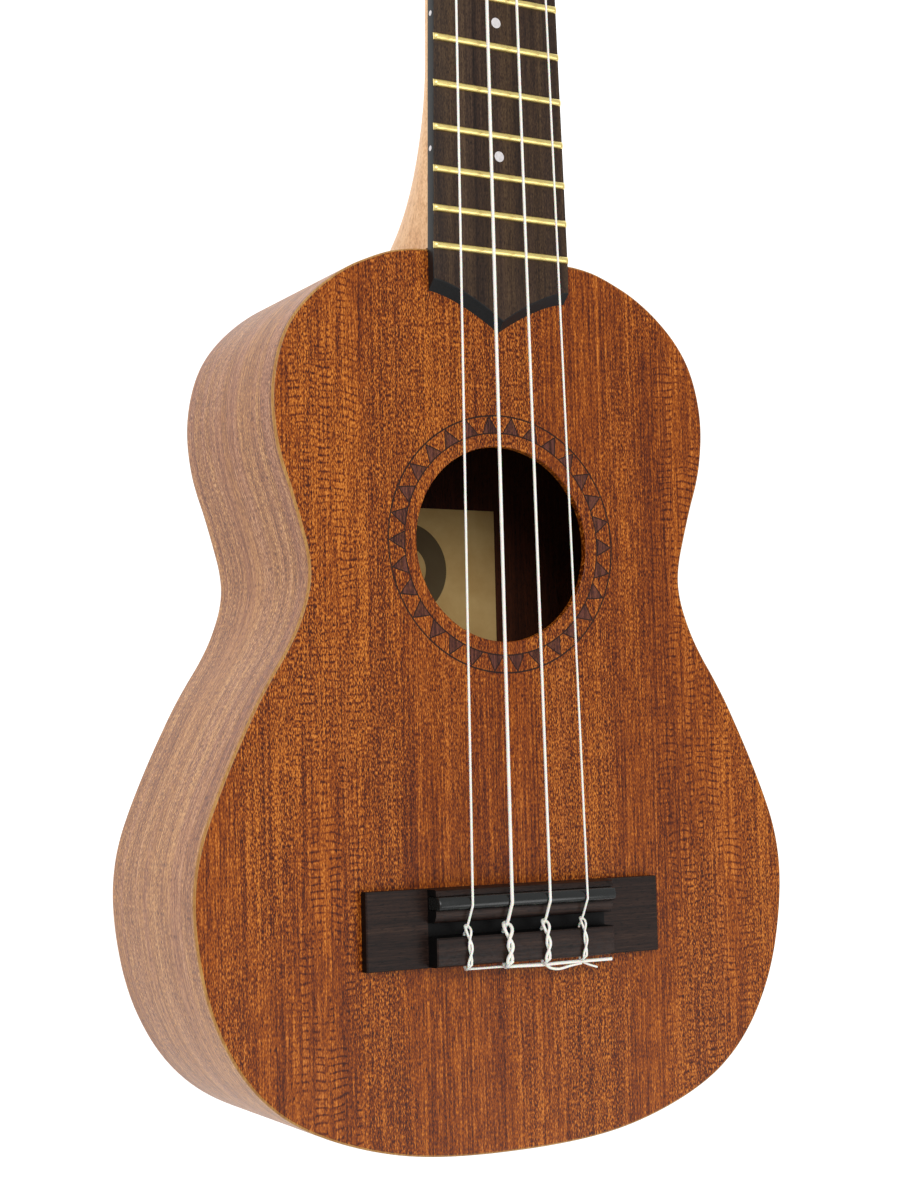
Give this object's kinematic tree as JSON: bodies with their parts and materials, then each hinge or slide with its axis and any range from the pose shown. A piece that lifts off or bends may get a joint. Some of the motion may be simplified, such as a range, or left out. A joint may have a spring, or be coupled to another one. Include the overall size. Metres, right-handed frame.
{
  "type": "soprano ukulele",
  "caption": "Figure-eight wooden ukulele with open round soundhole, tie bridge, fretted neck, tilted headstock and geared tuners.",
  "frame": {"origin": "under the middle of the overall box, on the plane of the flat back", "axes": "+Z out of the soundboard, +Y along the neck towards the headstock, +X to the treble side"},
  "size_m": [0.1824, 0.5324, 0.071],
  "materials": {
    "top_wood": "satin open-pore ribbon-figured mahogany type wood",
    "side_wood": "satin bent wood",
    "inside_wood": "unfinished softwood",
    "neck_wood": "satin",
    "dark_wood": "oiled open-pore dark wood",
    "fret_wire": "polished",
    "inlay": "pearl",
    "nut_material": "bone-like",
    "saddle_material": "gloss black",
    "string_nylon": "clear white monofilament",
    "label_paper": "matt",
    "tuner_metal": "plated",
    "tuner_gear": "satin",
    "button_plastic": "pearl white"
  },
  "bodies": {
    "ukulele": {"soundboard": "top_wood", "back": "top_wood", "side_bass": "side_wood", "side_treble": "side_wood", "head_block": "inside_wood", "tail_block": "inside_wood", "lining_top_bass": "inside_wood", "lining_top_treble": "inside_wood", "lining_back_bass": "inside_wood", "lining_back_treble": "inside_wood", "top_brace_upper": "inside_wood", "top_brace_lower": "inside_wood", "bridge_plate": "inside_wood", "back_brace_upper": "inside_wood", "back_brace_lower": "inside_wood", "label": "label_paper", "neck": "neck_wood", "fretboard": "dark_wood", "nut": "nut_material", "fret_01": "fret_wire", "fret_02": "fret_wire", "fret_03": "fret_wire", "fret_04": "fret_wire", "fret_05": "fret_wire", "fret_06": "fret_wire", "fret_07": "fret_wire", "fret_08": "fret_wire", "fret_09": "fret_wire", "fret_10": "fret_wire", "fret_11": "fret_wire", "fret_12": "fret_wire", "dot_05": "inlay", "dot_07": "inlay", "dot_10": "inlay", "bridge": "dark_wood", "saddle": "saddle_material", "string_g": "string_nylon", "string_c": "string_nylon", "string_e": "string_nylon", "string_a": "string_nylon", "tuner_plate_g": "tuner_metal", "tuner_plate_c": "tuner_metal", "tuner_plate_e": "tuner_metal", "tuner_plate_a": "tuner_metal"},
    "button_turn_g": {"worm_shaft_g": "tuner_metal", "button_g": "button_plastic"},
    "post_turn_g": {"post_g": "tuner_metal", "gear_g": "tuner_gear"},
    "button_turn_c": {"worm_shaft_c": "tuner_metal", "button_c": "button_plastic"},
    "post_turn_c": {"post_c": "tuner_metal", "gear_c": "tuner_gear"},
    "button_turn_e": {"worm_shaft_e": "tuner_metal", "button_e": "button_plastic"},
    "post_turn_e": {"post_e": "tuner_metal", "gear_e": "tuner_gear"},
    "button_turn_a": {"worm_shaft_a": "tuner_metal", "button_a": "button_plastic"},
    "post_turn_a": {"post_a": "tuner_metal", "gear_a": "tuner_gear"}
  },
  "joints": [
    {"name": "button_g_turn", "type": "hinge", "parent": "ukulele", "child": "button_turn_g", "pos_m": [-0.014, 0.18047, 0.03906], "axis": [-1, 0, 0], "continuous": true},
    {"name": "post_g_turn", "type": "hinge", "parent": "ukulele", "child": "post_turn_g", "pos_m": [-0.014, 0.19127, 0.0521], "axis": [0, 0.2079, 0.9781], "continuous": true},
    {"name": "button_c_turn", "type": "hinge", "parent": "ukulele", "child": "button_turn_c", "pos_m": [-0.014, 0.21764, 0.03116], "axis": [-1, 0, 0], "continuous": true},
    {"name": "post_c_turn", "type": "hinge", "parent": "ukulele", "child": "post_turn_c", "pos_m": [-0.014, 0.22844, 0.0442], "axis": [0, 0.2079, 0.9781], "continuous": true},
    {"name": "button_e_turn", "type": "hinge", "parent": "ukulele", "child": "button_turn_e", "pos_m": [0.014, 0.21764, 0.03116], "axis": [1, 0, 0], "continuous": true},
    {"name": "post_e_turn", "type": "hinge", "parent": "ukulele", "child": "post_turn_e", "pos_m": [0.014, 0.22844, 0.0442], "axis": [0, 0.2079, 0.9781], "continuous": true},
    {"name": "button_a_turn", "type": "hinge", "parent": "ukulele", "child": "button_turn_a", "pos_m": [0.014, 0.18047, 0.03906], "axis": [1, 0, 0], "continuous": true},
    {"name": "post_a_turn", "type": "hinge", "parent": "ukulele", "child": "post_turn_a", "pos_m": [0.014, 0.19127, 0.0521], "axis": [0, 0.2079, 0.9781], "continuous": true}
  ],
  "couplings": [
    {"joint": "post_g_turn", "follows": "button_g_turn", "ratio": -0.071429},
    {"joint": "post_c_turn", "follows": "button_c_turn", "ratio": -0.071429},
    {"joint": "post_e_turn", "follows": "button_e_turn", "ratio": 0.071429},
    {"joint": "post_a_turn", "follows": "button_a_turn", "ratio": 0.071429}
  ]
}
